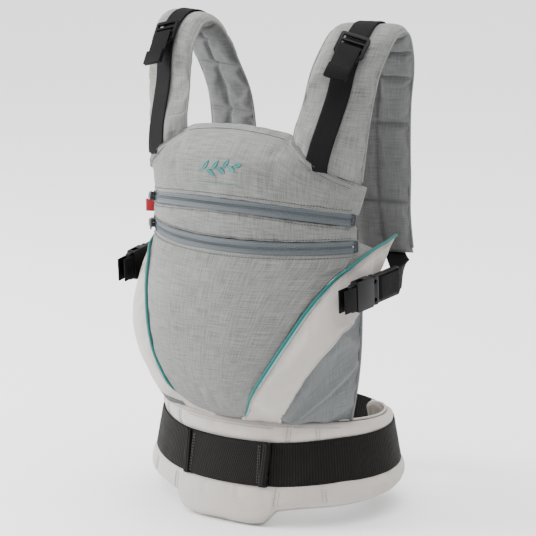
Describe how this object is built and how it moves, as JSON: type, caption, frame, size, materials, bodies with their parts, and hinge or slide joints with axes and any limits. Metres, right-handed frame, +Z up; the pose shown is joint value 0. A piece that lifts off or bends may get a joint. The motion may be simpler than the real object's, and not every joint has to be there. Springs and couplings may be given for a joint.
{
  "type": "soft baby carrier",
  "caption": "Soft padded baby carrier with a buckled waist belt, rounded pouch with zips, piped side bands and padded shoulder straps with webbing adjusters.",
  "frame": {"origin": "centre of the waist loop, at the mid height of its webbing", "axes": "+Z up, -Y the outer front of the pouch, +X to the right when looking at the front"},
  "size_m": [0.3068, 0.2752, 0.5408],
  "materials": {
    "black_plastic": "satin",
    "foam": "matte",
    "grey_fabric": "matte",
    "gusset_fabric": "matte",
    "lining": "matte",
    "pale_fabric": "matte",
    "red_label": "matte",
    "strap_lining": "matte",
    "teal_trim": "matte",
    "webbing": "matte",
    "zip_coil": "satin",
    "zip_metal": "satin",
    "zip_tape": "matte"
  },
  "bodies": {
    "carrier": {"belt_cover": "pale_fabric", "belt_foam": "foam", "belt_lining": "lining", "belt_webbing_centre": "webbing", "belt_webbing_sides": "webbing", "belt_webbing_end": "webbing", "hip_socket": "black_plastic", "panel_main": "grey_fabric", "panel_strip": "grey_fabric", "panel_top": "grey_fabric", "panel_lining": "lining", "zip_tape_lower": "zip_tape", "zip_tape_upper": "zip_tape", "zip_coil_lower": "zip_coil", "zip_coil_upper": "zip_coil", "side_label": "red_label", "motif": "teal_trim", "band_left": "pale_fabric", "band_right": "pale_fabric", "piping_left": "teal_trim", "piping_right": "teal_trim", "gusset_left": "gusset_fabric", "gusset_right": "gusset_fabric", "strap_cover_left": "grey_fabric", "strap_cover_right": "grey_fabric", "strap_foam_left": "foam", "strap_foam_right": "foam", "strap_lining_left": "strap_lining", "strap_lining_right": "strap_lining", "lifter_webbing_left": "webbing", "lifter_webbing_right": "webbing", "side_anchor_left": "webbing", "side_anchor_right": "webbing", "side_socket_left": "black_plastic", "side_socket_right": "black_plastic", "strap_end_left": "webbing", "strap_end_right": "webbing"},
    "upper_slider": {"zip_slider_upper": "zip_metal"},
    "lower_slider": {"zip_slider_lower": "zip_metal"},
    "upper_pull": {"zip_pull_upper": "zip_metal"},
    "lower_pull": {"zip_pull_lower": "zip_metal"},
    "hip_tongue": {"hip_tongue": "black_plastic"},
    "hip_prong_upper": {"hip_prongs_upper": "black_plastic"},
    "hip_prong_lower": {"hip_prongs_lower": "black_plastic"},
    "right_tongue": {"side_tongue_right": "black_plastic"},
    "right_prong_upper": {"side_prong_right_upper": "black_plastic"},
    "right_prong_lower": {"side_prong_right_lower": "black_plastic"},
    "left_tongue": {"side_tongue_left": "black_plastic"},
    "left_prong_upper": {"side_prong_left_upper": "black_plastic"},
    "left_prong_lower": {"side_prong_left_lower": "black_plastic"},
    "hip_button": {"hip_button": "black_plastic"},
    "chest_strap": {"chest_webbing_right": "webbing", "chest_clips": "black_plastic", "chest_socket": "black_plastic"},
    "chest_tongue": {"chest_tongue": "black_plastic", "chest_webbing_left": "webbing"},
    "ladder_lock_right": {"ladder_lock_right": "black_plastic", "lifter_tail_right": "webbing"},
    "ladder_lock_left": {"ladder_lock_left": "black_plastic", "lifter_tail_left": "webbing"}
  },
  "joints": [
    {"name": "upper_zip", "type": "hinge", "parent": "carrier", "child": "upper_slider", "pos_m": [0, 0.03189, 0.24784], "axis": [0, 0.2323, 0.9726], "range_deg": [0, 103]},
    {"name": "lower_zip", "type": "hinge", "parent": "carrier", "child": "lower_slider", "pos_m": [0, 0.0385, 0.24], "axis": [0, 0, 1], "range_deg": [0, 103]},
    {"name": "upper_pull_flip", "type": "hinge", "parent": "upper_slider", "child": "upper_pull", "pos_m": [-0.12635, -0.06586, 0.27119], "axis": [0, 0.2323, 0.9726], "range_deg": [-110, 0]},
    {"name": "lower_pull_flip", "type": "hinge", "parent": "lower_slider", "child": "lower_pull", "pos_m": [-0.12819, -0.06347, 0.24], "axis": [0, 0, 1], "range_deg": [-110, 0]},
    {"name": "hip_release", "type": "slide", "parent": "carrier", "child": "hip_tongue", "axis": [-1, 0, 0], "range_m": [0, 0.036], "deforming": ["belt_webbing_end"]},
    {"name": "hip_prong_upper_squeeze", "type": "hinge", "parent": "hip_tongue", "child": "hip_prong_upper", "pos_m": [-0.0135, 0.10419, 0.02616], "axis": [0, 0.9842, 0.1772], "range_deg": [0, 6]},
    {"name": "hip_prong_lower_squeeze", "type": "hinge", "parent": "hip_tongue", "child": "hip_prong_lower", "pos_m": [-0.0135, 0.11181, -0.01616], "axis": [0, 0.9842, 0.1772], "range_deg": [-6, 0]},
    {"name": "right_release", "type": "slide", "parent": "carrier", "child": "right_tongue", "axis": [0.1003, 0.9931, 0.0602], "range_m": [0, 0.026], "deforming": ["strap_end_right"]},
    {"name": "right_prong_upper_squeeze", "type": "hinge", "parent": "right_tongue", "child": "right_prong_upper", "pos_m": [0.14629, -0.04712, 0.20419], "axis": [0.9949, -0.1005, 0], "range_deg": [0, 6]},
    {"name": "right_prong_lower_squeeze", "type": "hinge", "parent": "right_tongue", "child": "right_prong_lower", "pos_m": [0.14641, -0.04593, 0.18423], "axis": [0.9949, -0.1005, 0], "range_deg": [-6, 0]},
    {"name": "left_release", "type": "slide", "parent": "carrier", "child": "left_tongue", "axis": [-0.1003, 0.9931, 0.0602], "range_m": [0, 0.026], "deforming": ["strap_end_left"]},
    {"name": "left_prong_upper_squeeze", "type": "hinge", "parent": "left_tongue", "child": "left_prong_upper", "pos_m": [-0.14629, -0.04712, 0.20419], "axis": [-0.9949, -0.1005, 0], "range_deg": [-6, 0]},
    {"name": "left_prong_lower_squeeze", "type": "hinge", "parent": "left_tongue", "child": "left_prong_lower", "pos_m": [-0.14641, -0.04593, 0.18423], "axis": [-0.9949, -0.1005, 0], "range_deg": [0, 6]},
    {"name": "hip_button_press", "type": "slide", "parent": "carrier", "child": "hip_button", "axis": [0, -0.9842, -0.1772], "range_m": [0, 0.0012], "stiffness_N_per_m": 400},
    {"name": "chest_strap_height", "type": "slide", "parent": "carrier", "child": "chest_strap", "axis": [0, 0, 1], "range_m": [-0.02, 0.04]},
    {"name": "chest_release", "type": "slide", "parent": "chest_strap", "child": "chest_tongue", "axis": [-1, 0, 0], "range_m": [0, 0.022]},
    {"name": "ladder_lock_right_tilt", "type": "hinge", "parent": "carrier", "child": "ladder_lock_right", "pos_m": [0.11857, -0.03686, 0.45992], "axis": [-0.96, -0.1434, 0.2405], "range_deg": [0, 25]},
    {"name": "ladder_lock_left_tilt", "type": "hinge", "parent": "carrier", "child": "ladder_lock_left", "pos_m": [-0.11857, -0.03686, 0.45992], "axis": [-0.96, 0.1434, -0.2405], "range_deg": [0, 25]}
  ],
  "couplings": [
    {"joint": "hip_prong_upper_squeeze", "follows": "hip_release", "rad_per_m": 2.906},
    {"joint": "hip_prong_lower_squeeze", "follows": "hip_release", "rad_per_m": -2.906},
    {"joint": "right_prong_upper_squeeze", "follows": "right_release", "rad_per_m": 4.0237},
    {"joint": "right_prong_lower_squeeze", "follows": "right_release", "rad_per_m": -4.0237},
    {"joint": "left_prong_upper_squeeze", "follows": "left_release", "rad_per_m": -4.0237},
    {"joint": "left_prong_lower_squeeze", "follows": "left_release", "rad_per_m": 4.0237}
  ]
}
